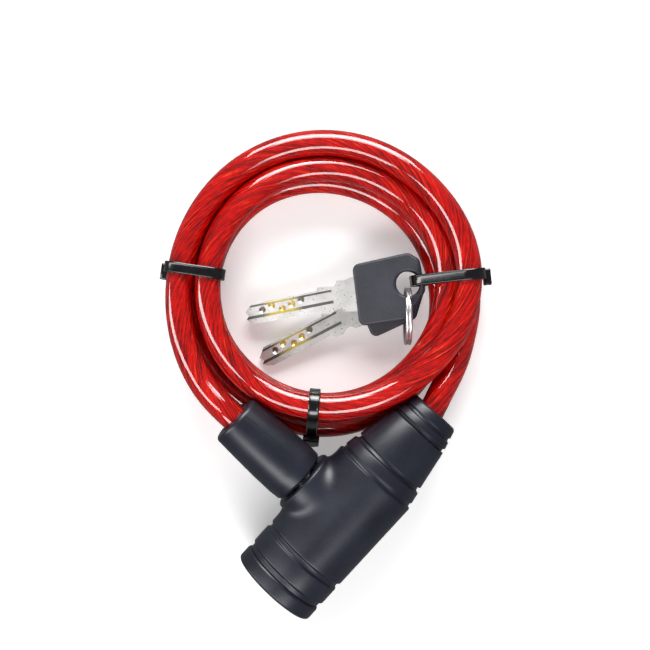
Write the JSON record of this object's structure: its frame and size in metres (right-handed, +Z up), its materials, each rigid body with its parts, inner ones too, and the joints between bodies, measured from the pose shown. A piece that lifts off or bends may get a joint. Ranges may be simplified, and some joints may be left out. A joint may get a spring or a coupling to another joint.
{
  "type": "keyed cable lock",
  "caption": "Keyed cable lock lying flat: ringed lock body with a side port, bolt on a coiled cable held by ties, keys on a split ring.",
  "frame": {"origin": "on the surface the lock lies on, under the middle of the box round the lock body, bolt, keys and split ring (the cable and its ties left out)", "axes": "+Z up from the surface, +Y from the lock body towards the coil, +X to the right seen from above"},
  "size_m": [0.103, 0.1508, 0.0297],
  "materials": {
    "lock_plastic": "fine satin moulded black plastic",
    "zinc_casting": "die-cast zinc alloy",
    "brass": "machined brass",
    "steel": "hardened steel",
    "ferrule": "crimped aluminium sleeve",
    "plated_steel": "nickel-plated steel",
    "seal_rubber": "black rubber",
    "cable_jacket": "clear red PVC over steel wire rope",
    "tie_nylon": "black nylon",
    "key_metal": "nickel-plated brass",
    "key_plastic": "textured grey-black plastic",
    "ring_steel": "nickel-plated spring steel"
  },
  "bodies": {
    "lock_and_coil": {"body_shell": "lock_plastic", "key_end_cap": "lock_plastic", "cable_end_cap": "lock_plastic", "lock_housing": "zinc_casting", "driver_pins": "steel", "pin_springs": "steel", "pin_cover": "brass", "pawl_spring": "steel", "pawl_spring_cap": "brass", "anchor_ferrule": "ferrule", "anchor_pin": "steel", "port_seal": "seal_rubber", "cable_coil": "cable_jacket", "cable_lead_lock": "cable_jacket", "tie_left": "tie_nylon", "tie_right": "tie_nylon", "tie_bottom": "tie_nylon"},
    "plug": {"plug_core": "brass", "key_pins": "brass", "plug_clip": "steel", "plug_cam": "brass"},
    "pawl": {"locking_pawl": "steel"},
    "bolt": {"shackle_pin": "plated_steel", "bolt_ferrule": "ferrule", "bolt_cap": "lock_plastic", "cable_lead_bolt": "cable_jacket"},
    "key_1": {"key_1_blade": "key_metal", "key_1_head": "key_plastic"},
    "key_2": {"key_2_blade": "key_metal", "key_2_head": "key_plastic"},
    "split_ring": {"key_ring": "ring_steel"}
  },
  "joints": [
    {"name": "plug_turn", "type": "hinge", "parent": "lock_and_coil", "child": "plug", "pos_m": [-0.01967, -0.04718, 0.01427], "axis": [0.6754, 0.737, 0.0262], "range_deg": [0, 90]},
    {"name": "pawl_slide", "type": "slide", "parent": "lock_and_coil", "child": "pawl", "axis": [0.0595, -0.0898, 0.9942], "range_m": [-0.0021, 0], "deforming": ["pawl_spring"]},
    {"name": "bolt_pull", "type": "slide", "parent": "lock_and_coil", "child": "bolt", "axis": [-0.7351, 0.6699, 0.1045], "range_m": [0, 0.02]},
    {"name": "key_1_swing", "type": "hinge", "parent": "lock_and_coil", "child": "key_1", "pos_m": [0.02223, 0.04697, 0.0119], "axis": [-0.1536, -0.0296, 0.9877], "range_deg": [-8, 4]},
    {"name": "key_2_swing", "type": "hinge", "parent": "lock_and_coil", "child": "key_2", "pos_m": [0.02223, 0.04697, 0.0067], "axis": [-0.0927, -0.0483, 0.9945], "range_deg": [-4, 1]},
    {"name": "ring_swing", "type": "hinge", "parent": "lock_and_coil", "child": "split_ring", "pos_m": [0.02223, 0.04532, 0.009], "axis": [0, 0, 1], "range_deg": [-18, 1]}
  ],
  "couplings": [
    {"joint": "pawl_slide", "follows": "plug_turn", "m_per_rad": -0.0012}
  ]
}
